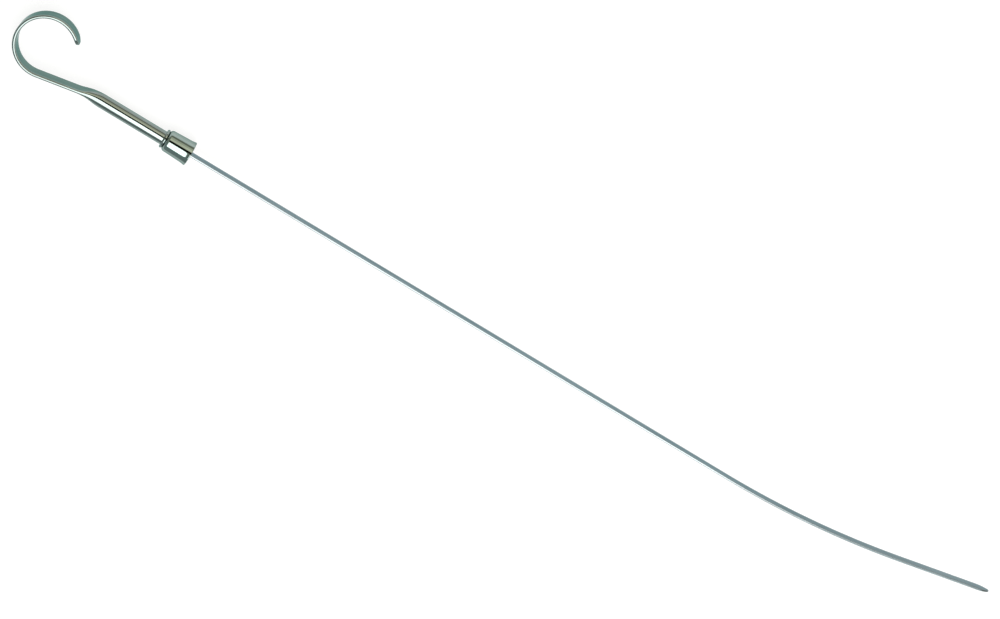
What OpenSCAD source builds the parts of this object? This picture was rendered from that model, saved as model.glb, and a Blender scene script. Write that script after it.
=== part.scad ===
// Engine oil dipstick: a chromed tube handle flattened into an open hook, a drawn cap,
// a sealing washer and a long sprung steel blade with level marks near its tip.
// The blade goes down into a socket, whose mouth slides over the spigot and meets the washer.
// +X runs along the blade towards its tip, the hook opens towards +Y, and +Z is normal
// to the plane of the hook. The origin is on the axis, at the face where that mouth stops.

/* [Handle tube] */
// Outer diameter of the handle tube
tube_d = 8; // [7:0.1:10]
// Wall of the handle tube
tube_wall = 1; // [0.7:0.1:1.2]
// Length of the tube that stays round, above the ring bead
grip_len = 38.6; // [25:0.1:80]
// Length over which the tube is pressed from round to flat
press_len = 15; // [10:0.5:25]
// Radius of the slight set between the tube and the flat lead
set_r = 30; // [15:1:50]

/* [Hook] */
// Width of the flattened band, across the plane of the hook
band_w = 10.8; // [9:0.1:13]
// Thickness of the flattened band
band_t = 2; // [1.8:0.1:3]
// Angle at which the flat lead falls away from the tube's axis
lead_angle = 10.7; // [4:0.1:16]
// Length of the flat lead, from the end of the pressed stretch to the hook
lead_len = 22.7; // [12:0.1:45]
// Radius of the hook at the middle of the band
hook_r = 16.9; // [13:0.1:25]
// Turn of the hook, from the flat lead to the root of its tongue
hook_turn = 227; // [180:1:240]

/* [Ring bead and spigot] */
// Diameter of the ring bead above the cap
bead_d = 11.2; // [10:0.1:12]
// Thickness of the ring bead
bead_t = 1.5; // [1:0.1:2.5]
// Diameter of the neck that passes through the cap and the washer
neck_d = 6.5; // [6.2:0.1:6.8]
// Length of the spigot under the washer
spigot_len = 6; // [4:0.5:8]
// Chamfer at the end of the spigot
spigot_chamfer = 0.6; // [0.3:0.1:0.8]

/* [Cap] */
// Length of the cap outside, from its top to its mouth
cap_len = 15.6; // [14:0.1:20]
// Sheet thickness of the cap
cap_wall = 0.8; // [0.5:0.1:1]
// Outer diameter just under the rounded shoulder
shoulder_d = 12.8; // [12.5:0.1:14]
// Outer radius of the rounded shoulder
shoulder_r = 2.1; // [1.6:0.1:2.5]
// Outer diameter of the skirt above the flare
skirt_d = 13.5; // [13.2:0.1:15]
// Outer diameter of the flared mouth
mouth_d = 14.6; // [14:0.1:17]
// Length of the flare at the mouth
flare_len = 4.6; // [3:0.1:6]

/* [Seal washer] */
// Thickness of the sealing washer
washer_t = 1.6; // [1:0.1:2.5]

/* [Blade] */
// Width of the blade
blade_w = 6.35; // [5.5:0.05:7]
// Thickness of the blade
blade_t = 1.2; // [1:0.05:1.5]
// Width of the tang that the neck and the spigot are closed on
tang_w = 5.4; // [4.5:0.1:5.4]
// Straight length of the blade, from the end of the spigot to the bend
straight_len = 377.5; // [250:0.5:500]
// Radius of the long bend near the end of the blade
sweep_r = 640; // [400:10:900]
// Turn of the long bend
sweep_angle = 11.2; // [4:0.1:15]
// Length of the straight end, from the bend to the tip
end_len = 61; // [50:0.5:90]
// Length of the pointed tip
tip_len = 8; // [6:0.5:14]
// Radius of the blunt nose at the end of the tip
nose_r = 1.7; // [0.8:0.1:2]

/* [Level marks] */
// Distance of the low line from the end of the tip
low_line = 20; // [16:0.5:22]
// Distance of the full line from the end of the tip
full_line = 44; // [34:0.5:46]
// Width of the level lines
line_w = 0.6; // [0.4:0.1:1]
// Depth of the level lines
line_depth = 0.15; // [0.1:0.01:0.25]
// Spacing of the crosshatched grooves between the lines
hatch_pitch = 2.4; // [1.8:0.1:4]
// Width of the crosshatched grooves
hatch_w = 0.35; // [0.2:0.05:0.6]
// Depth of the crosshatched grooves
hatch_depth = 0.1; // [0.05:0.01:0.2]

/* [Fits] */
// Bore of the socket that the spigot enters
socket_bore = 7.7; // [7.5:0.1:8.5]
// Radial clearance of the spigot in the socket
socket_gap = 0.15; // [0.1:0.01:0.3]
// Radial clearance of the cap and the washer on the neck
neck_gap = 0.05; // [0.03:0.01:0.1]
// Radial clearance of the washer inside the cap
washer_gap = 0.25; // [0.1:0.05:0.4]
// Clearance of the tang in its slot, on each side
tang_gap = 0.05; // [0.03:0.01:0.1]

/* [Hidden] */
$fn = 96;

// Facets of the strips' round edges, the hook and the long bend
edge_fn = 48;
hook_fn = 240;
sweep_fn = 1440;

// Places along the axis, from the stop on the washer at zero
cap_inner_x = -washer_t;
cap_top_x = cap_inner_x - cap_wall;
bead_top_x = cap_top_x - bead_t;
press_x = bead_top_x - grip_len;
mouth_x = cap_top_x + cap_len;
bend_x = spigot_len + straight_len;

// Height of the washer's rim under its bevelled corner
washer_rim = 0.5;

// Radii of the handle
tube_r = tube_d / 2;
bore_r = tube_r - tube_wall;
neck_r = neck_d / 2;
spigot_r = socket_bore / 2 - socket_gap;
bead_rim_r = bead_t / 2;

// The pressed stretch: its set lies at the middle, and the bore closes in the first part of it
set_arc = set_r * lead_angle * PI / 180;
set_start = (press_len - set_arc) / 2;
bore_close_share = 0.4;
bore_close_len = press_len * bore_close_share;
rings = 10;
sides = 32;

// Stretches of one strip overlap by a short tuck, the inner one smaller by a hair all round
seam = 0.015;
tuck = 0.4;

// Cutters stand this far past the faces that they cut
over = 1;

// The hook ends in a tongue, rounded a little blunter than a half circle
tongue_spare = 0.3;
tongue_r = band_w / 2 + tongue_spare;
tongue_turn = tongue_r / hook_r * 180 / PI;
spare_turn = 5;

// The bore ends inside the ring bead, and the tang reaches it through the neck and the spigot
bore_end_x = cap_top_x - bead_t / 2;
tang_x = bore_end_x - tang_gap;
slot_w = tang_w + 2 * tang_gap;
slot_t = blade_t + 2 * tang_gap;

// The pointed tip is an ogive: its sides are arcs that leave the edges of the blade smoothly
half_w = blade_w / 2;
ogive_len = tip_len + nose_r / 2;
ogive_r = (ogive_len * ogive_len + half_w * half_w) / blade_w;

// Points of an arc about [cx, cy] in steps
function arc(cx, cy, r, from, to, steps) =
    [for (i = [0:steps]) let (a = from + (to - from) * i / steps) [cx + r * cos(a), cy + r * sin(a)]];

// A smooth rise from 0 to 1
function ease(t) = let (u = min(max(t, 0), 1)) u * u * (3 - 2 * u);
function mix(a, b, t) = a + (b - a) * t;

// Direction and place of the pressed stretch, at a distance s from its start
function set_turn(s) = min(max((s - set_start) / set_r * 180 / PI, 0), lead_angle);
function set_point(s) =
    let (a = set_turn(s), past = s - set_start - a * PI / 180 * set_r)
    s < set_start
        ? [press_x - s, 0]
        : [press_x - set_start - set_r * sin(a) - past * cos(a), -set_r * (1 - cos(a)) - past * sin(a)];

// One ring of the pressed stretch: a slot shape of half width w and half thickness h
function ring(s, w, h) =
    let (a = set_turn(s), p = set_point(s))
    [for (i = [0:sides - 1])
        let (
            q = 360 * (i + 0.5) / sides,
            across = h * sin(q),
            along = h * cos(q) + (cos(q) > 0 ? w - h : h - w)
        )
        [p[0] - across * sin(a), p[1] + across * cos(a), along]];

// A closed skin over rings of equal count
module skin(list) {
    n = len(list[0]);
    last = len(list) - 1;
    polyhedron(
        points = [for (r = list) each r],
        faces = concat(
            [[for (i = [0:n - 1]) i]],
            [for (k = [0:last - 1], i = [0:n - 1]) let (j = (i + 1) % n)
                [k * n + i, (k + 1) * n + i, (k + 1) * n + j, k * n + j]],
            [[for (i = [n - 1:-1:0]) last * n + i]]
        )
    );
}

// The tube's change from round to flat
module pressed() {
    skin([for (k = [-1:rings + 1])
        let (
            s = k < 0 ? -tuck : k > rings ? press_len + tuck : press_len * k / rings,
            t = ease(s / press_len),
            h = mix(tube_r, band_t / 2, t),
            w = mix(tube_r, band_w / 2, t)
        )
        ring(s, w - seam, h - seam)]);
}

// A flat strip section with full round edges, its width along y
module strip_section(w, t) {
    square([t, w - t], center = true);
    for (side = [-1, 1]) translate([0, side * (w - t) / 2]) circle(d = t, $fn = edge_fn);
}

// Moves to the end of the pressed stretch, with -X along the flat lead
module at_lead() {
    p = set_point(press_len);
    translate([p[0], p[1], 0]) rotate([0, 0, lead_angle]) children();
}

// The straight flat lead
module lead() {
    at_lead() rotate([0, -90, 0]) linear_extrude(lead_len) rotate(90) strip_section(band_w, band_t);
}

// The hook, tucked into the lead, with its end cut to a rounded tongue
module hook() {
    turn = hook_turn + tongue_turn;
    tuck_turn = tuck / hook_r * 180 / PI;
    at_lead() translate([-lead_len, hook_r, 0]) rotate([0, 0, -90 - hook_turn]) difference() {
        rotate([0, 0, -tongue_turn - spare_turn])
            rotate_extrude(angle = turn + spare_turn + tuck_turn, $fn = hook_fn)
                translate([hook_r, 0]) strip_section(band_w - 2 * seam, band_t - 2 * seam);
        difference() {
            translate([hook_r / 2, -hook_r, -band_w]) cube([hook_r, hook_r, 2 * band_w]);
            translate([hook_r / 3, 0, 0]) rotate([0, 90, 0]) cylinder(r = tongue_r, h = 2 * hook_r);
        }
    }
}

// The round grip, ring bead, neck and spigot, turned about the X axis
module turned_shank() {
    profile = concat(
        [[press_x, 0], [press_x, tube_r], [bead_top_x, tube_r]],
        arc(bead_top_x + bead_rim_r, bead_d / 2 - bead_rim_r, bead_rim_r, 180, 0, 12),
        [
            [cap_top_x, neck_r], [0, neck_r], [0, spigot_r],
            [spigot_len - spigot_chamfer, spigot_r],
            [spigot_len, spigot_r - spigot_chamfer], [spigot_len, 0],
        ]
    );
    rotate([90, 0, 90]) rotate_extrude() polygon([for (p = profile) [p[1], p[0]]]);
}

module handle() {
    color([0.66, 0.70, 0.67]) difference() {
        union() {
            turned_shank();
            pressed();
            lead();
            hook();
        }
        translate([press_x, 0, 0]) rotate([0, 90, 0]) cylinder(r = bore_r, h = bore_end_x - press_x);
        translate([press_x - bore_close_len, 0, 0]) rotate([0, 90, 0])
            cylinder(r1 = band_t / 4, r2 = bore_r, h = bore_close_len);
        translate([bore_end_x - tuck, -slot_t / 2, -slot_w / 2])
            cube([spigot_len - bore_end_x + over, slot_t, slot_w]);
    }
}

module cap() {
    color([0.62, 0.67, 0.65]) rotate([90, 0, 90]) rotate_extrude()
        polygon([for (p = cap_profile()) [p[1], p[0]]]);
}

// Outline of the cap's sheet: up the outside to the mouth and back up the inside
function cap_profile() =
    let (
        outer = cap_side(0),
        inner = cap_side(cap_wall),
        hole_r = neck_r + neck_gap
    )
    concat(
        [[cap_top_x, hole_r]], outer,
        [for (i = [len(inner) - 1:-1:0]) inner[i]], [[cap_inner_x, hole_r]]
    );

// One side of the sheet, set in by a depth: rounded shoulder, tapered skirt and flared mouth
function cap_side(depth) =
    let (
        r = shoulder_r - depth,
        skirt_x = mouth_x - flare_len,
        rise = (mouth_d - skirt_d) / 2
    )
    concat(
        arc(cap_top_x + shoulder_r, shoulder_d / 2 - shoulder_r, r, 180, 90, 8),
        [for (i = [0:8]) let (t = i / 8) [mix(skirt_x, mouth_x, t), skirt_d / 2 - depth + rise * t * t]]
    );

module seal_washer() {
    outer_r = shoulder_d / 2 - cap_wall - washer_gap;
    corner = min(shoulder_r - cap_wall, washer_t - washer_rim);
    profile = [
        [neck_r + neck_gap, cap_inner_x],
        [outer_r - corner, cap_inner_x],
        [outer_r, cap_inner_x + corner],
        [outer_r, 0],
        [neck_r + neck_gap, 0],
    ];
    color([0.08, 0.08, 0.08]) rotate([90, 0, 90]) rotate_extrude() polygon(profile);
}

// Moves to the end of the long bend, with +X along the straight end of the blade
module at_end() {
    translate([bend_x + sweep_r * sin(sweep_angle), sweep_r * (1 - cos(sweep_angle)), 0])
        rotate([0, 0, sweep_angle]) children();
}

// Outline of the straight end, its width along y: two ogive arcs and a blunt nose
module end_outline() {
    nose_centre = end_len - nose_r;
    intersection() {
        union() {
            translate([0, -blade_w]) square([nose_centre, 2 * blade_w]);
            translate([nose_centre, 0]) circle(r = nose_r, $fn = edge_fn);
        }
        union() {
            translate([0, -blade_w]) square([end_len - tip_len, 2 * blade_w]);
            intersection_for(side = [-1, 1])
                translate([end_len - tip_len, side * (ogive_r - half_w)])
                    circle(r = ogive_r, $fn = hook_fn);
        }
    }
}

// Level lines and the crosshatched band between them, cut into the face that looks to -Y
module level_marks() {
    face_w = blade_w - blade_t;
    for (from_tip = [low_line, full_line])
        translate([end_len - from_tip - line_w / 2, -blade_t / 2 - over, -face_w / 2])
            cube([line_w, over + line_depth, face_w]);
    hatch_from = end_len - full_line + line_w * 2;
    hatch_to = end_len - low_line - line_w * 2;
    intersection() {
        translate([hatch_from, -blade_t / 2 - over, -face_w / 2])
            cube([hatch_to - hatch_from, over + hatch_depth, face_w]);
        union() for (side = [-1, 1], x = [hatch_from - face_w:hatch_pitch:hatch_to + face_w])
            translate([x, -blade_t / 2 - over, 0]) rotate([0, side * 45, 0])
                translate([-hatch_w / 2, 0, -blade_w]) cube([hatch_w, over + blade_t, 2 * blade_w]);
    }
}

module blade() {
    tuck_turn = tuck / sweep_r * 180 / PI;
    color([0.55, 0.61, 0.62]) difference() {
        union() {
            translate([tang_x, -blade_t / 2, -tang_w / 2])
                cube([spigot_len - tang_x + over, blade_t, tang_w]);
            translate([spigot_len, 0, 0]) rotate([90, 0, 90])
                linear_extrude(straight_len) strip_section(blade_w, blade_t);
            translate([bend_x, sweep_r, 0]) rotate([0, 0, -90 - tuck_turn])
                rotate_extrude(angle = sweep_angle + 2 * tuck_turn, $fn = sweep_fn)
                    translate([sweep_r, 0]) strip_section(blade_w - 2 * seam, blade_t - 2 * seam);
            at_end() intersection() {
                rotate([90, 0, 90]) linear_extrude(end_len) strip_section(blade_w, blade_t);
                rotate([90, 0, 0]) linear_extrude(2 * blade_t, center = true) end_outline();
            }
        }
        at_end() level_marks();
    }
}

handle();
cap();
seal_washer();
blade();
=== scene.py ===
"""Looks of an engine oil dipstick: a chromed hook handle, a drawn cap, a sealing washer and a long
steel blade with level marks, lying on a floor that shows as white. Lengths are in metres and
angles in radians, except where a name or a comment says degrees.
+X runs along the blade towards its tip, the hook opens towards +Y and +Z is up as it lies.
"""

import math

import bpy
from mathutils import Matrix, Vector


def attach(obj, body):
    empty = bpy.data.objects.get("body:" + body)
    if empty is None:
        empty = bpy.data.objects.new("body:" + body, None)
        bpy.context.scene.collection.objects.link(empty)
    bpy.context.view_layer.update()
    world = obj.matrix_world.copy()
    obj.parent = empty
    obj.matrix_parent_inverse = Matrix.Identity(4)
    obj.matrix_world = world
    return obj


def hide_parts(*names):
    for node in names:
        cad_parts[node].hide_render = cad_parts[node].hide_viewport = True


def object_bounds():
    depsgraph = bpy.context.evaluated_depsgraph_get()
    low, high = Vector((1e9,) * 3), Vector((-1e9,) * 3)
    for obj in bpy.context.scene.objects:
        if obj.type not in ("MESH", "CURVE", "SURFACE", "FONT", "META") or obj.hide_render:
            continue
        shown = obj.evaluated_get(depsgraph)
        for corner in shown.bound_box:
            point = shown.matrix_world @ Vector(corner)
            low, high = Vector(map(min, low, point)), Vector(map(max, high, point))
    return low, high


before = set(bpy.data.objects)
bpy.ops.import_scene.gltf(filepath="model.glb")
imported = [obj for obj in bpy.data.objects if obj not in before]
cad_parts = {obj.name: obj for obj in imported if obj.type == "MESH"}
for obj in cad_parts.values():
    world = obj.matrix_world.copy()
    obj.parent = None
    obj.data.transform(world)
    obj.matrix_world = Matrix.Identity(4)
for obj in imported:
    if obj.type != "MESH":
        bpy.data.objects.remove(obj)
cad_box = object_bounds()

bl_info = {
    "name": "Engine Oil Dipstick",
    "version": (1, 0, 0),
    "blender": (4, 5, 0),
    "location": "View3D > Sidebar > Dipstick",
    "description": "Builds the polished pieces of an oil dipstick and a studio around them",
    "category": "Add Mesh",
}

MM = 0.001
MERGE_DISTANCE = 0.002 * MM

# Points round the handle and the cap, and round the blade
ROUND_POINTS, BLADE_POINTS = 160, 128

# Spacing of the nodes in a tree
NODE_WIDTH, NODE_HEIGHT = 180, 220
NODES_IN_A_ROW = 14

# Haze, streaks, bump and inside of the chromed pieces, and of the drawn steel of the blade. The
# inside is rougher, and its colour is darkened as painted shade
PLATED = {
    "Cloud Scale": 90.0, "Streak Scale": 750.0, "dark_streak": 0.8, "light_streak": 1.14,
    "Hairline Scale": 2600.0, "Clear": 0.04, "Hazy": 0.09,
    "bump": 0.12, "bump_height": 0.002 * MM, "inside_tone": 0.75, "inside_rough": 0.22,
}
GRAINED = {
    "Cloud Scale": 45.0, "Streak Scale": 900.0, "dark_streak": 0.8, "light_streak": 1.14,
    "Hairline Scale": 4200.0, "Clear": 0.14, "Hazy": 0.2,
    "bump": 0.12, "bump_height": 0.002 * MM, "inside_tone": 0.55, "inside_rough": 0.25,
}

# Where each panel or lamp stands, its size along X and across, and the point that it faces
FLOOR_X, FLOOR_SIZE = 0.2, 14.0
OVERHEAD = {"centre": (0.4, -0.375, 1.3), "size": (1.24, 1.25), "facing": (0.4, -0.375, 0.0)}
OVERHEAD_CORNER = 0.25
FAR_CARD = {"centre": (1.55, -0.375, 1.3), "size": (1.05, 1.25), "facing": (1.55, -0.375, 0.0)}
BLACK_FLAG = {"centre": (0.6, 0.75, 1.75), "size": (3.2, 0.62), "facing": (0.2, 0.0, 0.0)}
SIDE_FILL = {"centre": (0.6, 1.29, 1.01), "size": (2.4, 1.05), "facing": (0.6, 0.0, 0.0)}
SIDE_STRIP = {"centre": (0.6, 1.12, 1.21), "size": (2.4, 0.52), "facing": (0.6, 0.0, 0.0)}

# Tones of the cards and the softbox fronts
PALE_CARD, BLACK_CARD = (0.8, 0.8, 0.8), (0.01, 0.01, 0.01)


def length(name, description, default):
    """A length in metres that a user can change."""
    return bpy.props.FloatProperty(
        name=name, description=description, default=default, min=0.0,
        precision=5, unit="LENGTH", subtype="DISTANCE")


def angle(name, description, degrees):
    """An angle that a user can change."""
    return bpy.props.FloatProperty(
        name=name, description=description, default=math.radians(degrees), subtype="ANGLE")


def share(name, description, default, top=1.0):
    """A plain factor that a user can change."""
    return bpy.props.FloatProperty(
        name=name, description=description, default=default, min=0.0, max=top, precision=3)


def colour(name, description, default):
    """A colour that a user can change."""
    return bpy.props.FloatVectorProperty(
        name=name, description=description, default=default, size=3, min=0.0, max=1.0,
        subtype="COLOR")


class DipstickHandleSettings(bpy.types.PropertyGroup):
    """Sizes and finish of the hook handle."""

    tube_d: length("Tube", "Outer diameter of the round grip", 8.0 * MM)
    press_x: length("Grip Length", "Distance from the stop to where the tube is pressed", 42.5 * MM)
    press_len: length("Pressed Length", "Length of the change from round to flat", 15.0 * MM)
    set_r: length("Set Radius", "Radius of the slight set of the flat lead", 30.0 * MM)
    lead_angle: angle("Lead Angle", "Angle of the flat lead to the tube", 10.7)
    lead_len: length("Lead Length", "Length of the flat lead", 22.7 * MM)
    band_w: length("Band Width", "Width of the flattened band", 10.8 * MM)
    band_t: length("Band Thickness", "Thickness of the flattened band", 2.0 * MM)
    hook_r: length("Hook Radius", "Radius at the middle of the band", 16.9 * MM)
    hook_turn: angle("Hook Turn", "Turn from the lead to the root of the tongue", 227.0)
    tongue_r: length("Tongue Radius", "Radius of the rounded end, seen flat", 5.7 * MM)
    edge_power: share(
        "Edge Roundness", "1 for round edges of the band, less for squarer ones", 0.86)
    bead_d: length("Bead Diameter", "Diameter of the rolled ring bead", 11.2 * MM)
    bead_t: length("Bead Thickness", "Thickness of the rolled ring bead", 1.5 * MM)
    bead_fillet: length("Bead Fillet", "Fillet between the grip and the bead", 0.25 * MM)
    neck_d: length("Neck Diameter", "Diameter of the neck inside the cap", 6.5 * MM)
    spigot_d: length("Spigot Diameter", "Diameter of the spigot", 7.4 * MM)
    spigot_len: length("Spigot Length", "Length of the spigot below the washer", 6.0 * MM)
    spigot_chamfer: length("Spigot Chamfer", "Chamfer at the end of the spigot", 0.6 * MM)
    plating: colour("Plating", "Colour of the bright plating", (0.277, 0.327, 0.311))
    plating_edge: colour("Plating Edge", "Tint of the plating seen at a slant", (0.34, 0.50, 0.475))


class DipstickCapSettings(bpy.types.PropertyGroup):
    """Sizes and finish of the drawn cap and the washer in it."""

    top_x: length("Top", "Distance from the stop to the top of the cap", 2.4 * MM)
    cap_len: length("Length", "Length from the top to the mouth", 15.6 * MM)
    wall: length("Sheet", "Thickness of the drawn sheet", 0.8 * MM)
    shoulder_d: length("Shoulder Diameter", "Diameter just under the shoulder", 12.8 * MM)
    shoulder_r: length("Shoulder Radius", "Radius of the rounded shoulder", 2.1 * MM)
    skirt_d: length("Skirt Diameter", "Diameter above the flare", 13.5 * MM)
    mouth_d: length("Mouth Diameter", "Diameter of the flared mouth", 14.6 * MM)
    flare_len: length("Flare Length", "Length of the flare", 4.6 * MM)
    rim_round: length("Rim Round", "Rounding of the rim's edges", 0.36 * MM)
    hole_d: length("Hole Diameter", "Diameter of the hole around the neck", 6.6 * MM)
    plating: colour("Plating", "Colour of the bright plating", (0.29, 0.36, 0.335))
    plating_edge: colour("Plating Edge", "Tint of the plating seen at a slant", (0.40, 0.52, 0.50))
    rubber: colour("Rubber", "Colour of the washer", (0.018, 0.018, 0.019))


class DipstickBladeSettings(bpy.types.PropertyGroup):
    """Sizes and finish of the blade and its level marks."""

    blade_w: length("Width", "Width of the blade", 6.35 * MM)
    blade_t: length("Thickness", "Thickness of the blade", 1.2 * MM)
    tang_w: length("Tang Width", "Width of the tang inside the spigot", 5.4 * MM)
    tang_x: length("Tang", "Distance from the stop to the tang's end", 3.1 * MM)
    bend_x: length("Bend Start", "Distance from the stop to the long bend", 383.5 * MM)
    sweep_r: length("Bend Radius", "Radius of the long bend", 640.0 * MM)
    sweep_angle: angle("Bend Turn", "Turn of the long bend", 11.2)
    end_len: length("End Length", "Straight length from the bend to the tip", 61.0 * MM)
    tip_len: length("Tip Length", "Length of the pointed tip", 8.0 * MM)
    nose_r: length("Nose Radius", "Radius of the blunt nose", 1.7 * MM)
    edge_power: share(
        "Edge Roundness", "1 for round edges of the blade, less for squarer ones", 0.58)
    low_line: length("Low Line", "Distance of the low line from the tip", 20.0 * MM)
    full_line: length("Full Line", "Distance of the full line from the tip", 44.0 * MM)
    line_w: length("Line Width", "Width of the level lines", 0.6 * MM)
    line_depth: length("Line Depth", "Depth of the level lines", 0.15 * MM)
    hatch_pitch: length("Hatch Pitch", "Spacing of the crosshatching along the blade", 2.4 * MM)
    hatch_w: length("Hatch Width", "Width of the crosshatched grooves", 0.35 * MM)
    hatch_depth: length("Hatch Depth", "Depth of the crosshatched grooves", 0.1 * MM)
    steel: colour("Steel", "Colour of the bright steel", (0.31, 0.345, 0.355))
    steel_edge: colour("Steel Edge", "Tint of the steel seen at a slant", (0.41, 0.56, 0.61))


class DipstickStudioSettings(bpy.types.PropertyGroup):
    """Camera, lamps and floor."""

    lens: bpy.props.FloatProperty(
        name="Lens", description="Focal length of the camera", default=73.14, min=1.0,
        subtype="DISTANCE_CAMERA")
    camera_x: bpy.props.FloatProperty(
        name="Camera X", description="Place of the camera along the blade", default=-0.0802,
        unit="LENGTH", precision=4)
    camera_y: length("Camera Y", "Place of the camera across the blade", 0.3565)
    camera_z: length("Camera Height", "Height of the camera", 1.0793)
    aim_x: length("Aim X", "Middle of the view on the hook's plane, along the blade", 0.2092)
    aim_y: length("Aim Y", "Middle of the view on the hook's plane, across the blade", 0.0160)
    roll: angle("Roll", "Turn of the camera about its own line of sight", 35.69)
    overhead: share("Overhead", "Brightness of the overhead softbox", 3.6, top=20.0)
    far_card: share("Far Card", "Brightness of the card beyond the tip", 1.1, top=20.0)
    far_tint: colour("Far Tint", "Colour of the card beyond the tip", (0.78, 0.95, 1.0))
    side_fill: share(
        "Side Fill", "Brightness of the low softbox on the hook's open side", 0.51, top=20.0)
    side_strip: share(
        "Side Strip", "Brightness of the softbox that overlaps its upper part", 0.57, top=20.0)
    side_tint: colour("Side Tint", "Colour of both softboxes on that side", (1.0, 0.88, 0.68))
    ambient: share("Ambient", "Brightness of the room", 0.38, top=5.0)
    cool_wall: colour("Cool Wall", "Colour of the room behind the hook", (0.84, 1.0, 1.0))
    warm_wall: colour("Warm Wall", "Colour of the room on the hook's open side", (1.0, 1.0, 0.80))
    floor_glow: share("Floor Glow", "Light that the floor shows to the camera and to metal", 0.86)
    floor_tone: colour("Floor", "Colour of the floor", (0.20, 0.20, 0.20))


def group_input(tree, name, kind, default=None, low=None):
    """Adds a named input to a node group."""
    socket = tree.interface.new_socket(name=name, in_out="INPUT", socket_type=kind)
    if default is not None:
        socket.default_value = default
    if low is not None:
        socket.min_value = low


def group_output(tree, name, kind):
    """Adds a named output to a node group."""
    tree.interface.new_socket(name=name, in_out="OUTPUT", socket_type=kind)


class Wires:
    """Adds nodes to a tree and joins them."""

    def __init__(self, tree):
        self.tree = tree
        self.count = 0

    def node(self, kind, **settings):
        """A new node with its settings, placed beside the last one."""
        made = self.tree.nodes.new(kind)
        row, column = divmod(self.count, NODES_IN_A_ROW)
        made.location = (NODE_WIDTH * column, -NODE_HEIGHT * row)
        self.count += 1
        for name, value in settings.items():
            setattr(made, name, value)
        return made

    def join(self, value, socket):
        """Feeds a socket from another socket, or sets its value."""
        if isinstance(value, bpy.types.NodeSocket):
            self.tree.links.new(value, socket)
        else:
            socket.default_value = value

    def math(self, operation, a, b=None, c=None):
        """A Math node's result."""
        made = self.node("ShaderNodeMath", operation=operation)
        for value, socket in zip((a, b, c), made.inputs):
            if value is not None:
                self.join(value, socket)
        return made.outputs[0]

    def vector(self, x, y, z):
        """A vector from three values."""
        made = self.node("ShaderNodeCombineXYZ")
        for value, socket in zip((x, y, z), made.inputs):
            self.join(value, socket)
        return made.outputs[0]

    def split(self, vector):
        """The three values of a vector."""
        made = self.node("ShaderNodeSeparateXYZ")
        self.join(vector, made.inputs[0])
        return made.outputs

    def ramp(self, value, low, high, out_low=0.0, out_high=1.0, smooth=True):
        """A value carried from one range to another and held at its ends."""
        made = self.node(
            "ShaderNodeMapRange", interpolation_type="SMOOTHSTEP" if smooth else "LINEAR")
        for item, socket in zip((value, low, high, out_low, out_high), made.inputs):
            self.join(item, socket)
        return made.outputs[0]

    def attribute(self, name, kind):
        """A named attribute of the mesh, in a geometry tree."""
        made = self.node("GeometryNodeInputNamedAttribute", data_type=kind)
        made.inputs["Name"].default_value = name
        return made.outputs["Attribute"]

    def store(self, geometry, name, kind, value):
        """The geometry with a named point attribute added."""
        made = self.node("GeometryNodeStoreNamedAttribute", data_type=kind, domain="POINT")
        self.join(geometry, made.inputs["Geometry"])
        made.inputs["Name"].default_value = name
        self.join(value, made.inputs["Value"])
        return made.outputs["Geometry"]

    def put_out(self, geometry, finish):
        """Ends a geometry tree: real geometry with its material."""
        real = self.node("GeometryNodeRealizeInstances")
        self.join(geometry, real.inputs["Geometry"])
        finished = self.node("GeometryNodeSetMaterial")
        self.join(real.outputs[0], finished.inputs["Geometry"])
        self.join(finish, finished.inputs["Material"])
        self.join(finished.outputs[0], self.node("NodeGroupOutput").inputs[0])


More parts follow.
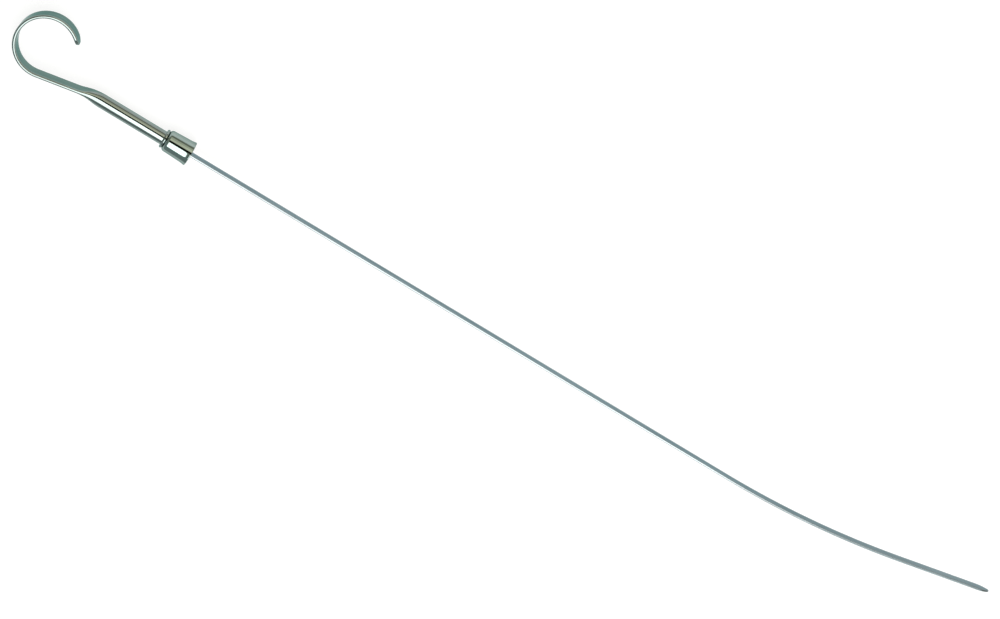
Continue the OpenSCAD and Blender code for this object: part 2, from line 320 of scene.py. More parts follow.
def section_loft_tree():
    """A skin over stations of a line: each ring is a slot shape of its station's half width and
    half thickness, so a station with both alike is round, and one with neither closes the skin.
    An edge power of 1 leaves the edges of the slot round, and a lower one makes them squarer."""
    tree = bpy.data.node_groups.new("Section Loft", "GeometryNodeTree")
    tree.is_modifier = True
    group_input(tree, "Stations", "NodeSocketGeometry")
    group_input(tree, "Points Around", "NodeSocketInt", 128, 8)
    group_input(tree, "Finish", "NodeSocketMaterial")
    group_output(tree, "Geometry", "NodeSocketGeometry")
    w = Wires(tree)
    given = w.node("NodeGroupInput").outputs
    stations = given["Stations"]

    # A grid with a row of points for each station, the last point of a row on its first one
    size = w.node("GeometryNodeAttributeDomainSize", component="MESH")
    w.join(stations, size.inputs["Geometry"])
    around = w.math("ADD", given["Points Around"], 1.0)
    grid = w.node("GeometryNodeMeshGrid")
    w.join(size.outputs["Point Count"], grid.inputs["Vertices X"])
    w.join(around, grid.inputs["Vertices Y"])

    index = w.node("GeometryNodeInputIndex").outputs[0]
    ring = w.math("FLOOR", w.math("DIVIDE", w.math("ADD", index, 0.5), around))
    step = w.math("SUBTRACT", index, w.math("MULTIPLY", ring, around))

    def sampled(kind, value):
        """A value of the ring's own station."""
        made = w.node("GeometryNodeSampleIndex", data_type=kind, domain="POINT")
        w.join(stations, made.inputs["Geometry"])
        w.join(value, made.inputs["Value"])
        w.join(ring, made.inputs["Index"])
        return made.outputs["Value"]

    centre = sampled("FLOAT_VECTOR", w.node("GeometryNodeInputPosition").outputs[0])
    turn = sampled("FLOAT", w.attribute("turn", "FLOAT"))
    half_w = sampled("FLOAT", w.attribute("half_width", "FLOAT"))
    half_t = sampled("FLOAT", w.attribute("half_thickness", "FLOAT"))
    run = sampled("FLOAT", w.attribute("distance", "FLOAT"))
    inside = sampled("FLOAT", w.attribute("inside", "FLOAT"))
    power = sampled("FLOAT", w.attribute("edge_power", "FLOAT"))

    # A quarter of the slot shape is walked from its edge: the round of the edge, then the flat
    share_round = w.math("DIVIDE", step, given["Points Around"])
    heading = w.math("MULTIPLY", share_round, math.tau)
    quarter = w.math("PINGPONG", w.math("MULTIPLY", share_round, 4.0), 1.0)
    flat = w.math("SUBTRACT", half_w, half_t)
    bend = w.math("MULTIPLY", half_t, math.pi / 2)
    walked = w.math("MULTIPLY", quarter, w.math("ADD", bend, flat))
    edge_angle = w.math("MINIMUM", w.math("DIVIDE", walked, half_t), math.pi / 2)
    on_flat = w.math("MAXIMUM", w.math("SUBTRACT", walked, bend), 0.0)
    edge = w.math("MULTIPLY", half_t, w.math("POWER", w.math("COSINE", edge_angle), power))
    along_size = w.math("ADD", w.math("SUBTRACT", flat, on_flat), edge)
    along = w.math("MULTIPLY", along_size, w.math("SIGN", w.math("COSINE", heading)))
    across_size = w.math("MULTIPLY", half_t, w.math("POWER", w.math("SINE", edge_angle), power))
    across = w.math("MULTIPLY", across_size, w.math("SIGN", w.math("SINE", heading)))

    aside = w.vector(
        w.math("MULTIPLY", w.math("SINE", turn), w.math("MULTIPLY", across, -1.0)),
        w.math("MULTIPLY", w.math("COSINE", turn), across),
        along)
    placed = w.node("ShaderNodeVectorMath", operation="ADD")
    w.join(centre, placed.inputs[0])
    w.join(aside, placed.inputs[1])
    skin = w.node("GeometryNodeSetPosition")
    w.join(grid.outputs["Mesh"], skin.inputs["Geometry"])
    w.join(placed.outputs[0], skin.inputs["Position"])

    marked = w.store(skin.outputs[0], "run", "FLOAT_VECTOR", w.vector(run, across, along))
    marked = w.store(marked, "inside", "FLOAT", inside)
    closed = w.node("GeometryNodeMergeByDistance")
    w.join(marked, closed.inputs["Geometry"])
    closed.inputs["Distance"].default_value = MERGE_DISTANCE
    smooth = w.node("GeometryNodeSetShadeSmooth")
    w.join(closed.outputs[0], smooth.inputs["Geometry"])
    w.put_out(smooth.outputs[0], given["Finish"])
    return tree


def level_marks_tree():
    """Two level lines and crosshatching between them, sunk into the blade's far face."""
    tree = bpy.data.node_groups.new("Level Marks", "GeometryNodeTree")
    tree.is_modifier = True
    group_input(tree, "Geometry", "NodeSocketGeometry")
    for name in ("Low Line", "Full Line", "Line Width", "Line Depth", "Hatch Pitch", "Hatch Width",
                 "Hatch Depth", "Face Width", "Half Thickness", "Softness"):
        group_input(tree, name, "NodeSocketFloat")
    group_input(tree, "Finish", "NodeSocketMaterial")
    group_output(tree, "Geometry", "NodeSocketGeometry")
    w = Wires(tree)
    given = w.node("NodeGroupInput").outputs
    run, across, along = w.split(w.attribute("run", "FLOAT_VECTOR"))
    soft = given["Softness"]

    # The strokes run at 45 degrees and stay some line widths clear of the lines. A point is on the
    # far face from this share of half the thickness
    diagonal, clear_line_widths, face_level = math.sqrt(0.5), 2.0, 0.98

    def groove(distance, width):
        """1 within half the width of a groove's middle, falling off softly."""
        half = w.math("MULTIPLY", width, 0.5)
        return w.ramp(distance, w.math("ADD", half, soft), w.math("SUBTRACT", half, soft))

    lines = None
    for name in ("Low Line", "Full Line"):
        away = w.math("ABSOLUTE", w.math("SUBTRACT", run, given[name]))
        line = groove(away, given["Line Width"])
        lines = line if lines is None else w.math("MAXIMUM", lines, line)

    hatch = None
    for side in (-1.0, 1.0):
        at = w.math("DIVIDE", w.math("MULTIPLY_ADD", along, side, run), given["Hatch Pitch"])
        away = w.math("ABSOLUTE", w.math("SUBTRACT", at, w.math("ROUND", at)))
        away = w.math("MULTIPLY", away, given["Hatch Pitch"])
        stroke = groove(w.math("MULTIPLY", away, diagonal), given["Hatch Width"])
        hatch = stroke if hatch is None else w.math("MAXIMUM", hatch, stroke)
    gap = w.math("MULTIPLY", given["Line Width"], clear_line_widths)
    above_low = w.math("GREATER_THAN", run, w.math("ADD", given["Low Line"], gap))
    below_full = w.math("LESS_THAN", run, w.math("SUBTRACT", given["Full Line"], gap))
    hatch = w.math("MULTIPLY", hatch, w.math("MULTIPLY", above_low, below_full))

    half_face = w.math("MULTIPLY", given["Face Width"], 0.5)
    from_edge = w.math("SUBTRACT", half_face, w.math("ABSOLUTE", along))
    far_face = w.math("MULTIPLY", given["Half Thickness"], -face_level)
    on_far = w.math("LESS_THAN", across, far_face)
    on_face = w.math("MULTIPLY", w.ramp(from_edge, 0.0, soft), on_far)
    depth = w.math("MAXIMUM", w.math("MULTIPLY", lines, given["Line Depth"]),
                   w.math("MULTIPLY", hatch, given["Hatch Depth"]))
    sunk = w.math("MULTIPLY", depth, on_face)
    push = w.node("ShaderNodeVectorMath", operation="SCALE")
    w.join(w.node("GeometryNodeInputNormal").outputs[0], push.inputs[0])
    w.join(w.math("MULTIPLY", sunk, -1.0), push.inputs["Scale"])
    moved = w.node("GeometryNodeSetPosition")
    w.join(given["Geometry"], moved.inputs["Geometry"])
    w.join(push.outputs[0], moved.inputs["Offset"])
    # The deeper a point is sunk, the more of the painted shade and roughness of the inside it gets
    # in the material
    sunk_share = w.math("DIVIDE", sunk, given["Line Depth"])
    w.put_out(w.store(moved.outputs[0], "inside", "FLOAT", sunk_share), given["Finish"])
    return tree


def tree_named(name, build):
    """The node group of that name, built the first time that it is asked for."""
    return bpy.data.node_groups.get(name) or build()


def add_tree(piece, tree, **values):
    """A Geometry Nodes modifier whose inputs are set by their sockets' identifiers."""
    modifier = piece.modifiers.new(tree.name, "NODES")
    modifier.node_group = tree
    for item in tree.interface.items_tree:
        key = item.name.lower().replace(" ", "_")
        if item.in_out == "INPUT" and key in values:
            modifier[item.identifier] = values[key]


def add_skin(line, points_around, finish):
    """Lofts the skin over the stations of a line."""
    loft = tree_named("Section Loft", section_loft_tree)
    add_tree(line, loft, points_around=points_around, finish=finish)


def station(x, y, turn, half_width, half_thickness=None, edge_power=1.0, inside=0.0):
    """One station of a line. Without a thickness of its own it is round."""
    if half_thickness is None:
        half_thickness = half_width
    return (x, y, turn, half_width, min(half_thickness, half_width), edge_power, inside)


def distances_along(stations):
    """Distance of each station from the first one, along their line."""
    distances = [0.0]
    for a, b in zip(stations, stations[1:]):
        distances.append(distances[-1] + math.hypot(b[0] - a[0], b[1] - a[1]))
    return distances


def stations_object(name, stations, distances=None):
    """An object whose vertices are the stations of a line, with their sizes as attributes."""
    mesh = bpy.data.meshes.new(name)
    mesh.from_pydata([(s[0], s[1], 0.0) for s in stations], [], [])
    columns = {
        "turn": [s[2] for s in stations],
        "half_width": [s[3] for s in stations],
        "half_thickness": [s[4] for s in stations],
        "edge_power": [s[5] for s in stations],
        "inside": [s[6] for s in stations],
        "distance": distances or distances_along(stations),
    }
    for column, values in columns.items():
        mesh.attributes.new(column, "FLOAT", "POINT").data.foreach_set("value", values)
    made = bpy.data.objects.new(name, mesh)
    bpy.context.scene.collection.objects.link(made)
    return made


def mesh_volume(mesh):
    """Signed volume of a closed mesh: negative when its faces point inwards."""
    mesh.calc_loop_triangles()
    points = mesh.vertices
    total = 0.0
    for triangle in mesh.loop_triangles:
        a, b, c = (points[i].co for i in triangle.vertices)
        total += a.dot(b.cross(c))
    return total / 6.0


def baked_piece(source, name, crease_angle):
    """A plain mesh object made from an object with modifiers, which is then removed."""
    bpy.context.view_layer.update()
    graph = bpy.context.evaluated_depsgraph_get()
    mesh = bpy.data.meshes.new_from_object(
        source.evaluated_get(graph), preserve_all_data_layers=True, depsgraph=graph)
    mesh.name = name
    if mesh_volume(mesh) < 0.0:
        mesh.flip_normals()
    mesh.set_sharp_from_angle(angle=crease_angle)
    piece = bpy.data.objects.new(name, mesh)
    bpy.context.scene.collection.objects.link(piece)
    bpy.data.objects.remove(source)
    if mesh_volume(mesh) <= 0.0 or not mesh.polygons:
        raise RuntimeError(f"{name} has no volume")
    return piece


def spaced(start, end, step):
    """Values from start to end in equal steps of about the given size, both ends in."""
    count = max(1, round(abs(end - start) / step))
    return [start + (end - start) * i / count for i in range(count + 1)]


def arc_points(cx, cy, radius, start, end, steps):
    """Points of an arc, its angles in degrees."""
    made = []
    for i in range(steps + 1):
        a = math.radians(start + (end - start) * i / steps)
        made.append((cx + radius * math.cos(a), cy + radius * math.sin(a)))
    return made


def blend(a, b, t):
    """A value on the way from a to b."""
    return a + (b - a) * t


def ease(t):
    """A smooth rise from 0 to 1."""
    t = min(max(t, 0.0), 1.0)
    return t * t * (3 - 2 * t)


def rounded_end(half_thickness, left):
    """Half thickness where the rounded end of a strip is a distance left from its tip."""
    if left >= half_thickness:
        return half_thickness
    return math.sqrt(max(half_thickness ** 2 - (half_thickness - left) ** 2, 0.0))


def handle_stations(s):
    """Stations from the tongue of the hook, round the hook and along the grip to the spigot."""
    made = []
    tongue_steps, fillet_steps, bead_steps, hook_step = 26, 5, 20, math.radians(1.5)
    lead_step, press_step, grip_step = 1.5 * MM, 0.3 * MM, 6.0 * MM
    half_w, half_t, tube_r = s.band_w / 2, s.band_t / 2, s.tube_d / 2
    set_arc = s.set_r * s.lead_angle
    set_start = (s.press_len - set_arc) / 2

    def pressed(walk):
        """Place and turn of the line, a walk into the pressed stretch."""
        turn = min(max((walk - set_start) / s.set_r, 0.0), s.lead_angle)
        past = walk - set_start - turn * s.set_r
        if walk < set_start:
            return -s.press_x - walk, 0.0, 0.0
        return (-s.press_x - set_start - s.set_r * math.sin(turn) - past * math.cos(turn),
                -s.set_r * (1 - math.cos(turn)) - past * math.sin(turn), turn)

    start_x, start_y, lead = pressed(s.press_len)
    end_x = start_x - s.lead_len * math.cos(lead)
    end_y = start_y - s.lead_len * math.sin(lead)
    hub_x, hub_y = end_x - s.hook_r * math.sin(lead), end_y + s.hook_r * math.cos(lead)

    def on_hook(turn, half_width, half_thickness):
        """Adds a station on the hook's arc."""
        heading = turn - math.pi / 2
        x, y = hub_x + s.hook_r * math.cos(heading), hub_y + s.hook_r * math.sin(heading)
        made.append(station(x, y, turn, half_width, half_thickness, s.edge_power))

    for i in range(tongue_steps + 1):
        reach = s.tongue_r * math.cos(math.pi / 2 * i / tongue_steps)
        half_width = min(half_w, math.sqrt(max(s.tongue_r ** 2 - reach ** 2, 0.0)))
        turn = lead - s.hook_turn - math.asin(reach / s.hook_r)
        on_hook(turn, half_width, rounded_end(half_t, s.tongue_r - reach))
    for turn in spaced(lead - s.hook_turn, lead, hook_step)[1:]:
        on_hook(turn, half_w, half_t)
    for walk in spaced(s.lead_len, 0.0, lead_step)[1:]:
        made.append(station(start_x - walk * math.cos(lead), start_y - walk * math.sin(lead),
                            lead, half_w, half_t, s.edge_power))
    for walk in spaced(s.press_len, 0.0, press_step)[1:]:
        x, y, turn = pressed(walk)
        t = ease(walk / s.press_len)
        made.append(station(x, y, turn, blend(tube_r, half_w, t), blend(tube_r, half_t, t),
                            blend(1.0, s.edge_power, t)))

    bead_r, bead_half, fillet = s.bead_d / 2, s.bead_t / 2, s.bead_fillet
    neck_r, spigot_r, chamfer = s.neck_d / 2, s.spigot_d / 2, s.spigot_chamfer
    neck_x = -cap_settings().top_x
    bead_x = neck_x - s.bead_t
    turned = [(x, tube_r) for x in spaced(-s.press_x, bead_x - fillet, grip_step)[1:]]
    turned += arc_points(bead_x - fillet, tube_r + fillet, fillet, 270, 360, fillet_steps)[1:]
    turned += arc_points(bead_x + bead_half, bead_r - bead_half, bead_half, 180, 0, bead_steps)
    turned += [(neck_x, neck_r), (0.0, neck_r), (0.0, spigot_r),
               (s.spigot_len - chamfer, spigot_r), (s.spigot_len, spigot_r - chamfer),
               (s.spigot_len, 0.0)]
    made += [station(x, 0.0, 0.0, r) for x, r in turned]
    return made


def cap_stations(s):
    """Stations along the outside of the cap's sheet to its mouth, and back along the inside."""
    shoulder_steps, rim_steps, flare_step = 20, 6, 0.2 * MM
    top, mouth = -s.top_x, s.cap_len - s.top_x
    shoulder_x, shoulder_y = top + s.shoulder_r, s.shoulder_d / 2 - s.shoulder_r
    skirt_x, rise = mouth - s.flare_len, (s.mouth_d - s.skirt_d) / 2

    def side(depth, end_x):
        """Shoulder, skirt and flare of the face that lies a depth below the outside."""
        made = arc_points(shoulder_x, shoulder_y, s.shoulder_r - depth, 180, 90, shoulder_steps)
        for x in spaced(skirt_x, end_x, flare_step):
            t = (x - skirt_x) / s.flare_len
            made.append((x, s.skirt_d / 2 - depth + rise * t * t))
        return made

    rim_x, round_r = mouth - s.rim_round, s.rim_round
    outside = side(0.0, rim_x)
    inner_side = side(s.wall, rim_x)
    outer_r, inner_r = outside[-1][1], inner_side[-1][1]
    rim = arc_points(rim_x, outer_r - round_r, round_r, 90, 0, rim_steps)[1:]
    rim += arc_points(rim_x, inner_r + round_r, round_r, 0, -90, rim_steps)[:-1]
    hole = s.hole_d / 2
    loop = [(x, r, 0.0) for x, r in [(top, hole)] + outside + rim]
    # The inner face is marked as inside: the material paints shade there by darkening its colour,
    # and makes it rougher
    loop += [(x, r, 1.0) for x, r in inner_side[::-1] + [(top + s.wall, hole)]]
    loop.append((top, hole, 0.0))
    return [station(x, 0.0, 0.0, r, inside=inside) for x, r, inside in loop]


def blade_stations(s):
    """Stations from the tang to the tip, and the distance of each from the tip."""
    half_w, half_t, half_tang = s.blade_w / 2, s.blade_t / 2, s.tang_w / 2
    run_step, sweep_step, nose_steps = 12 * MM, math.radians(0.3), 14
    above_marks_step, marks_step, below_marks_step = 2.0 * MM, 0.11 * MM, 1.5 * MM
    marks_margin, tip_step = 1.5 * MM, 0.25 * MM
    spigot_end = handle_settings().spigot_len
    made = [station(-s.tang_x, 0.0, 0.0, 0.0)]

    def strip(x, y, turn, half_width, half_thickness=half_t):
        """Adds a station with the blade's own edges."""
        made.append(station(x, y, turn, half_width, half_thickness, s.edge_power))

    strip(-s.tang_x, 0.0, 0.0, half_tang)
    strip(spigot_end, 0.0, 0.0, half_tang)
    for x in spaced(spigot_end, s.bend_x, run_step):
        strip(x, 0.0, 0.0, half_w)
    for turn in spaced(0.0, s.sweep_angle, sweep_step)[1:]:
        strip(s.bend_x + s.sweep_r * math.sin(turn), s.sweep_r * (1 - math.cos(turn)), turn, half_w)
    end_x, end_y = made[-1][0], made[-1][1]
    ogive_len = s.tip_len + s.nose_r / 2
    ogive_r = (ogive_len ** 2 + half_w ** 2) / s.blade_w

    marks_from = s.end_len - s.full_line - marks_margin
    marks_to = s.end_len - s.low_line + marks_margin
    tip_from, nose_from = s.end_len - s.tip_len, s.end_len - s.nose_r
    walks = spaced(0.0, marks_from, above_marks_step)[1:]
    walks += spaced(marks_from, marks_to, marks_step)[1:]
    walks += spaced(marks_to, tip_from, below_marks_step)[1:]
    walks += spaced(tip_from, nose_from, tip_step)[1:]
    walks += [nose_from + s.nose_r * math.sin(math.pi / 2 * i / nose_steps)
              for i in range(1, nose_steps + 1)]
    for walk in walks:
        width, into_tip, into_nose = half_w, walk - tip_from, walk - nose_from
        if into_tip > 0:
            width = math.sqrt(max(ogive_r ** 2 - into_tip ** 2, 0.0)) - (ogive_r - half_w)
        if into_nose > 0:
            width = min(width, math.sqrt(max(s.nose_r ** 2 - into_nose ** 2, 0.0)))
        strip(end_x + walk * math.cos(s.sweep_angle), end_y + walk * math.sin(s.sweep_angle),
              s.sweep_angle, max(width, 0.0), rounded_end(half_t, s.end_len - walk))
    distances = distances_along(made)
    return made, [distances[-1] - d for d in distances]


def toned(tone, factor=1.0):
    """A colour made lighter or darker, with its alpha."""
    return (*[c * factor for c in tone], 1.0)


def empty_material(name):
    """A new material with no nodes, and the wires for them."""
    material = bpy.data.materials.new(name)
    material.use_nodes = True
    material.node_tree.nodes.clear()
    return material, Wires(material.node_tree)


def plating_haze_group():
    """Faint cloudiness, lengthwise streaks and hairline polishing marks, as bright plating has."""
    tree = bpy.data.node_groups.new("Plating Haze", "ShaderNodeTree")
    group_input(tree, "Vector", "NodeSocketVector")
    group_input(tree, "Cloud Scale", "NodeSocketFloat", 60.0)
    group_input(tree, "Streak Scale", "NodeSocketFloat", 700.0)
    group_input(tree, "Hairline Scale", "NodeSocketFloat", 900.0)
    group_input(tree, "Clear", "NodeSocketFloat", 0.05)
    group_input(tree, "Hazy", "NodeSocketFloat", 0.12)
    group_output(tree, "Roughness", "NodeSocketFloat")
    group_output(tree, "Tone", "NodeSocketFloat")
    group_output(tree, "Height", "NodeSocketFloat")
    w = Wires(tree)
    given = w.node("NodeGroupInput").outputs
    hairline_squeeze, streak_squeeze = 0.04, 0.012
    streak_weight, cloud_weight = 0.7, 0.3

    def noise(vector, scale, detail):
        """The value of a noise texture."""
        made = w.node("ShaderNodeTexNoise")
        w.join(vector, made.inputs["Vector"])
        w.join(scale, made.inputs["Scale"])
        made.inputs["Detail"].default_value = detail
        return made.outputs["Fac"]

    def drawn_out(squeeze, scale, detail):
        """Noise that is drawn out along the run."""
        mapping = w.node("ShaderNodeMapping")
        w.join(given["Vector"], mapping.inputs["Vector"])
        mapping.inputs["Scale"].default_value = (squeeze, 1.0, 1.0)
        return noise(mapping.outputs[0], scale, detail)

    cloud = noise(given["Vector"], given["Cloud Scale"], detail=4.0)
    hair = drawn_out(hairline_squeeze, given["Hairline Scale"], detail=3.0)
    streak = drawn_out(streak_squeeze, given["Streak Scale"], detail=2.0)

    # Each ramp spans the middle of its noise, where most of its values lie
    roughness = w.ramp(cloud, 0.35, 0.7, given["Clear"], given["Hazy"])
    streaked = w.math("MULTIPLY", w.ramp(streak, 0.36, 0.64), streak_weight)
    clouded = w.math("MULTIPLY", w.ramp(cloud, 0.3, 0.7), cloud_weight)
    out = w.node("NodeGroupOutput")
    w.join(roughness, out.inputs["Roughness"])
    w.join(w.math("ADD", streaked, clouded), out.inputs["Tone"])
    w.join(w.ramp(hair, 0.35, 0.65, smooth=False), out.inputs["Height"])
    return tree


def metal_material(name, tone, edge, settings):
    """Bright metal, and its tint at a slant. settings holds the haze, the tones of the streaks, the
    bump, the roughness of its inside, and the painted shade that darkens the colour of its inside."""
    material, w = empty_material(name)
    run = w.node("ShaderNodeAttribute", attribute_name="run")
    haze = w.node("ShaderNodeGroup", node_tree=tree_named("Plating Haze", plating_haze_group))
    w.join(run.outputs["Vector"], haze.inputs["Vector"])
    for key in ("Cloud Scale", "Streak Scale", "Hairline Scale", "Clear", "Hazy"):
        haze.inputs[key].default_value = settings[key]
    mix = w.node("ShaderNodeMix", data_type="RGBA")
    w.join(haze.outputs["Tone"], mix.inputs["Factor"])
    mix.inputs["A"].default_value = toned(tone, settings["dark_streak"])
    mix.inputs["B"].default_value = toned(tone, settings["light_streak"])
    # Painted shade: where the inside mark is set (the cap's inner face, the sunk level marks) the
    # colour is darkened as if in shade, and the roughness rises
    inside = w.node("ShaderNodeAttribute", attribute_name="inside")
    shaded_inside = w.node("ShaderNodeMix", data_type="RGBA")
    w.join(inside.outputs["Fac"], shaded_inside.inputs["Factor"])
    w.join(mix.outputs["Result"], shaded_inside.inputs["A"])
    shaded_inside.inputs["B"].default_value = toned(tone, settings["inside_tone"])
    rougher = w.math(
        "MULTIPLY_ADD", inside.outputs["Fac"], settings["inside_rough"], haze.outputs["Roughness"])
    bump = w.node("ShaderNodeBump")
    bump.inputs["Strength"].default_value = settings["bump"]
    bump.inputs["Distance"].default_value = settings["bump_height"]
    w.join(haze.outputs["Height"], bump.inputs["Height"])
    shader = w.node("ShaderNodeBsdfPrincipled")
    shader.inputs["Metallic"].default_value = 1.0
    shader.inputs["Specular Tint"].default_value = toned(edge)
    w.join(shaded_inside.outputs["Result"], shader.inputs["Base Color"])
    w.join(rougher, shader.inputs["Roughness"])
    w.join(bump.outputs[0], shader.inputs["Normal"])
    w.join(shader.outputs[0], w.node("ShaderNodeOutputMaterial").inputs["Surface"])
    return material


def rubber_material(tone):
    """Matt moulded rubber with a fine skin."""
    material, w = empty_material("Washer Rubber")
    speck_scale, dark_speck, light_speck = 2500.0, 0.8, 1.4
    least_rough, most_rough = 0.55, 0.75
    place = w.node("ShaderNodeTexCoord")
    speck = w.node("ShaderNodeTexNoise")
    w.join(place.outputs["Object"], speck.inputs["Vector"])
    speck.inputs["Scale"].default_value = speck_scale
    speck.inputs["Detail"].default_value = 2.0
    mix = w.node("ShaderNodeMix", data_type="RGBA")
    w.join(speck.outputs["Fac"], mix.inputs["Factor"])
    mix.inputs["A"].default_value = toned(tone, dark_speck)
    mix.inputs["B"].default_value = toned(tone, light_speck)
    bump = w.node("ShaderNodeBump")
    bump.inputs["Strength"].default_value = 0.3
    bump.inputs["Distance"].default_value = 0.03 * MM
    w.join(speck.outputs["Fac"], bump.inputs["Height"])
    shader = w.node("ShaderNodeBsdfPrincipled")
    w.join(mix.outputs["Result"], shader.inputs["Base Color"])
    roughness = w.ramp(speck.outputs["Fac"], 0.3, 0.7, least_rough, most_rough)
    w.join(roughness, shader.inputs["Roughness"])
    w.join(bump.outputs[0], shader.inputs["Normal"])
    w.join(shader.outputs[0], w.node("ShaderNodeOutputMaterial").inputs["Surface"])
    return material


def floor_material(tone, glow):
    """A grey floor that shows as white to the camera and to metal that mirrors it."""
    material, w = empty_material("Studio Floor")
    path = w.node("ShaderNodeLightPath")
    seen = w.math("ADD", path.outputs["Is Camera Ray"], path.outputs["Is Glossy Ray"])
    seen = w.math("MINIMUM", w.math("ADD", seen, path.outputs["Is Transmission Ray"]), 1.0)
    shader = w.node("ShaderNodeBsdfPrincipled")
    shader.inputs["Base Color"].default_value = toned(tone)
    shader.inputs["Roughness"].default_value = 0.9
    shader.inputs["Specular IOR Level"].default_value = 0.0
    shader.inputs["Emission Color"].default_value = (1.0, 1.0, 1.0, 1.0)
    w.join(w.math("MULTIPLY", seen, glow), shader.inputs["Emission Strength"])
    w.join(shader.outputs[0], w.node("ShaderNodeOutputMaterial").inputs["Surface"])
    return material


def aimed(centre, direction):
    """A place with its Z along a direction and its X as near to the part's X as that allows."""
    up = direction.normalized()
    across = up.cross(Vector((1, 0, 0))).normalized()
    turn = Matrix((across.cross(up), across, up)).transposed().to_4x4()
    return Matrix.Translation(centre) @ turn


def stage_panel(name, centre, size, facing, material, corner=0.0):
    """A flat rectangular panel, long along X, that faces a point, with rounded corners if asked."""
    corner_steps = 8
    half_x, half_y = size[0] / 2 - corner, size[1] / 2 - corner
    hubs = [(half_x, half_y), (-half_x, half_y), (-half_x, -half_y), (half_x, -half_y)]
    outline = []
    for i, (x, y) in enumerate(hubs):
        if corner:
            outline += arc_points(x, y, corner, 90 * i, 90 * i + 90, corner_steps)
        else:
            outline.append((x, y))
    mesh = bpy.data.meshes.new(name)
    mesh.from_pydata([(x, y, 0.0) for x, y in outline], [], [range(len(outline))])
    mesh.transform(aimed(centre, Vector(facing) - Vector(centre)))
    mesh.materials.append(material)
    panel = bpy.data.objects.new(name, mesh)
    bpy.context.scene.collection.objects.link(panel)
    return panel


def plain_material(name, tone, radiance=0.0, glow=(1.0, 1.0, 1.0)):
    """A matt card, or the front of a softbox where it has a radiance, in the colour of its glow."""
    material, w = empty_material(name)
    shader = w.node("ShaderNodeBsdfPrincipled")
    shader.inputs["Base Color"].default_value = toned(tone)
    shader.inputs["Roughness"].default_value = 1.0
    shader.inputs["Specular IOR Level"].default_value = 0.0
    shader.inputs["Emission Color"].default_value = toned(glow)
    shader.inputs["Emission Strength"].default_value = radiance
    w.join(shader.outputs[0], w.node("ShaderNodeOutputMaterial").inputs["Surface"])
    return material


def softbox(name, centre, size, facing, radiance, tint):
    """A rectangular lamp, long along X, of an even brightness. It shines along its -Z."""
    light = bpy.data.lights.new(name, "AREA")
    light.shape = "RECTANGLE"
    light.color = tint
    light.size, light.size_y = size
    light.energy = radiance * math.pi * size[0] * size[1]
    lamp = bpy.data.objects.new(name, light)
    lamp.matrix_world = aimed(centre, Vector(centre) - Vector(facing))
    lamp.visible_camera = False
    bpy.context.scene.collection.objects.link(lamp)


def studio_world(ambient, cool, warm):
    """A plain room, cooler behind the hook and warmer on its open side."""
    world = bpy.data.worlds.new("Studio Room")
    world.use_nodes = True
    world.node_tree.nodes.clear()
    w = Wires(world.node_tree)
    way = w.node("ShaderNodeTexCoord")
    aside = w.split(way.outputs["Generated"])[1]
    mix = w.node("ShaderNodeMix", data_type="RGBA")
    w.join(w.ramp(aside, -0.5, 0.5), mix.inputs["Factor"])
    mix.inputs["A"].default_value = toned(cool)
    mix.inputs["B"].default_value = toned(warm)
    background = w.node("ShaderNodeBackground")
    w.join(mix.outputs["Result"], background.inputs["Color"])
    background.inputs["Strength"].default_value = ambient
    w.join(background.outputs[0], w.node("ShaderNodeOutputWorld").inputs["Surface"])
    bpy.context.scene.world = world


def aim_camera(s):
    """The camera above the hook's plane, rolled so that the blade runs down to the right."""
    lens = bpy.data.cameras.new("Camera")
    lens.sensor_fit = "HORIZONTAL"
    lens.sensor_width = 36.0
    lens.lens = s.lens
    lens.clip_start, lens.clip_end = 0.01, 50.0
    place = Vector((s.camera_x, s.camera_y, s.camera_z))
    back = (place - Vector((s.aim_x, s.aim_y, 0.0))).normalized()
    right = Vector((0.0, 1.0, 0.0)).cross(back).normalized()
    level = Matrix((right, back.cross(right), back)).transposed()
    camera = bpy.data.objects.new("Camera", lens)
    rolled = (level @ Matrix.Rotation(s.roll, 3, "Z")).to_4x4()
    camera.matrix_world = Matrix.Translation(place) @ rolled
    bpy.context.scene.collection.objects.link(camera)
    bpy.context.scene.camera = camera


def handle_settings():
    """The sizes of the handle in this scene."""
    return bpy.context.scene.dipstick_handle


def cap_settings():
    """The sizes of the cap in this scene."""
    return bpy.context.scene.dipstick_cap


def blade_settings():
    """The sizes of the blade in this scene."""
    return bpy.context.scene.dipstick_blade


def hand_over(piece, node):
    """Puts a finished piece in place of its CAD node."""
    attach(piece, "root")
    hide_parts(node)


class DIPSTICK_OT_handle(bpy.types.Operator):
    """Build the hook handle, from its tongue to the spigot"""

    bl_idname = "dipstick.handle"
    bl_label = "Build Handle"

    def execute(self, context):
        s = handle_settings()
        finish = metal_material("Handle Plating", s.plating, s.plating_edge, PLATED)
        line = stations_object("handle_line", handle_stations(s))
        add_skin(line, ROUND_POINTS, finish)
        piece = baked_piece(line, "hook_handle", crease_angle=math.radians(42))
        hand_over(piece, "handle")
        return {"FINISHED"}


class DIPSTICK_OT_cap(bpy.types.Operator):
    """Build the drawn cap and finish the washer inside it"""

    bl_idname = "dipstick.cap"
    bl_label = "Build Cap and Washer"

    def execute(self, context):
        s = cap_settings()
        finish = metal_material("Cap Plating", s.plating, s.plating_edge, PLATED)
        line = stations_object("cap_line", cap_stations(s))
        add_skin(line, ROUND_POINTS, finish)
        piece = baked_piece(line, "drawn_cap", crease_angle=math.radians(35))
        hand_over(piece, "cap")
        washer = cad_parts["seal_washer"]
        rubber = rubber_material(s.rubber)
        if not washer.material_slots:
            raise RuntimeError("the washer has no material slot")
        for slot in washer.material_slots:
            slot.material = rubber
        return {"FINISHED"}


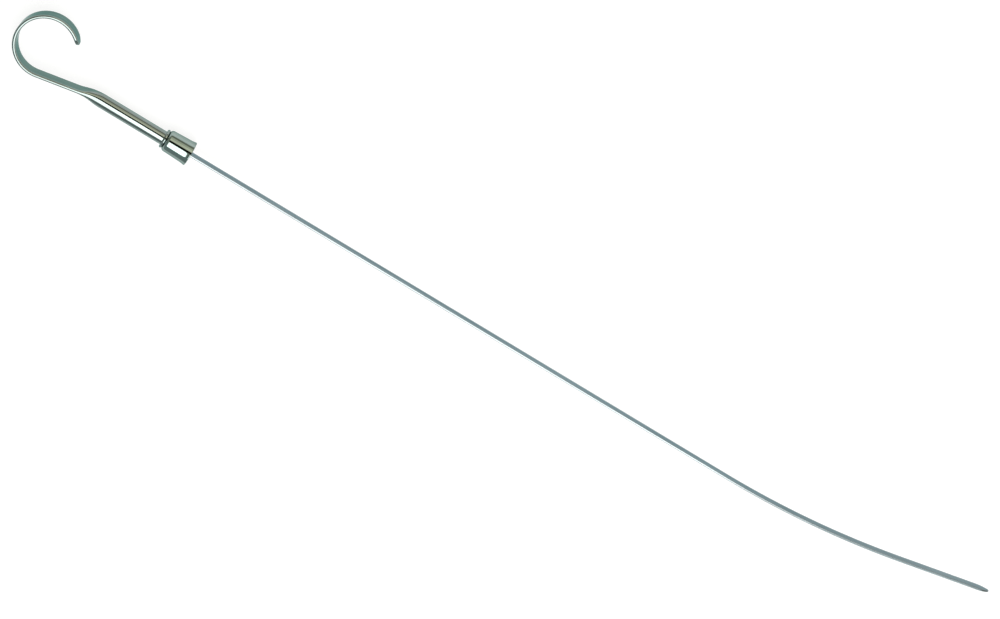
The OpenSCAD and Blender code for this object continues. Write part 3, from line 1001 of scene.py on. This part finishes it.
class DIPSTICK_OT_blade(bpy.types.Operator):
    """Build the blade with its level marks"""

    bl_idname = "dipstick.blade"
    bl_label = "Build Blade"

    def execute(self, context):
        s = blade_settings()
        finish = metal_material("Blade Steel", s.steel, s.steel_edge, GRAINED)
        stations, from_tip = blade_stations(s)
        line = stations_object("blade_line", stations, from_tip)
        add_skin(line, BLADE_POINTS, finish)
        add_tree(
            line, tree_named("Level Marks", level_marks_tree), finish=finish,
            low_line=s.low_line, full_line=s.full_line,
            line_width=s.line_w, line_depth=s.line_depth,
            hatch_pitch=s.hatch_pitch, hatch_width=s.hatch_w, hatch_depth=s.hatch_depth,
            face_width=s.blade_w - s.blade_t, half_thickness=s.blade_t / 2, softness=0.06 * MM)
        piece = baked_piece(line, "marked_blade", crease_angle=math.radians(50))
        hand_over(piece, "blade")
        return {"FINISHED"}


class DIPSTICK_OT_studio(bpy.types.Operator):
    """Set up the camera, the lamps and the floor"""

    bl_idname = "dipstick.studio"
    bl_label = "Set Up Studio"

    def execute(self, context):
        s = context.scene.dipstick_studio
        aim_camera(s)
        studio_world(s.ambient, s.cool_wall, s.warm_wall)
        rest_z = cad_box[0][2]
        floor = floor_material(s.floor_tone, s.floor_glow)
        stage_panel(
            "floor", (FLOOR_X, 0.0, rest_z), (FLOOR_SIZE, FLOOR_SIZE), (FLOOR_X, 0.0, 1.0), floor)
        lit_front = plain_material("Softbox Front", PALE_CARD, s.overhead)
        pale_front = plain_material("Far Card", PALE_CARD, s.far_card, s.far_tint)
        black_front = plain_material("Black Flag", BLACK_CARD)
        panels = [
            stage_panel("overhead", material=lit_front, corner=OVERHEAD_CORNER, **OVERHEAD),
            stage_panel("far_card", material=pale_front, **FAR_CARD),
            stage_panel("black_flag", material=black_front, **BLACK_FLAG),
        ]
        for panel in panels:
            panel.visible_camera = False
        softbox("side_fill", radiance=s.side_fill, tint=s.side_tint, **SIDE_FILL)
        softbox("side_strip", radiance=s.side_strip, tint=s.side_tint, **SIDE_STRIP)
        context.scene.view_settings.view_transform = "Standard"
        return {"FINISHED"}


class DIPSTICK_PT_panel(bpy.types.Panel):
    """Buttons that build the dipstick"""

    bl_idname = "DIPSTICK_PT_panel"
    bl_label = "Oil Dipstick"
    bl_space_type = "VIEW_3D"
    bl_region_type = "UI"
    bl_category = "Dipstick"

    def draw(self, context):
        column = self.layout.column(align=True)
        for operator in OPERATORS:
            column.operator(operator.bl_idname)
        for name in SETTINGS:
            group = getattr(context.scene, name)
            box = self.layout.box()
            for key in group.bl_rna.properties.keys():
                if key not in ("rna_type", "name"):
                    box.prop(group, key)


OPERATORS = (DIPSTICK_OT_studio, DIPSTICK_OT_handle, DIPSTICK_OT_cap, DIPSTICK_OT_blade)
SETTINGS = {
    "dipstick_handle": DipstickHandleSettings,
    "dipstick_cap": DipstickCapSettings,
    "dipstick_blade": DipstickBladeSettings,
    "dipstick_studio": DipstickStudioSettings,
}
CLASSES = (*SETTINGS.values(), *OPERATORS, DIPSTICK_PT_panel)


def register():
    """Registers the classes and adds their settings to the scene."""
    for item in CLASSES:
        bpy.utils.register_class(item)
    for name, group in SETTINGS.items():
        setattr(bpy.types.Scene, name, bpy.props.PointerProperty(type=group))


def unregister():
    """Takes the settings and the classes away again."""
    for name in SETTINGS:
        delattr(bpy.types.Scene, name)
    for item in reversed(CLASSES):
        bpy.utils.unregister_class(item)


def main():
    """Builds the studio and the pieces in order."""
    register()
    bpy.ops.dipstick.studio()
    bpy.ops.dipstick.handle()
    bpy.ops.dipstick.cap()
    bpy.ops.dipstick.blade()


if __name__ == "__main__":
    main()
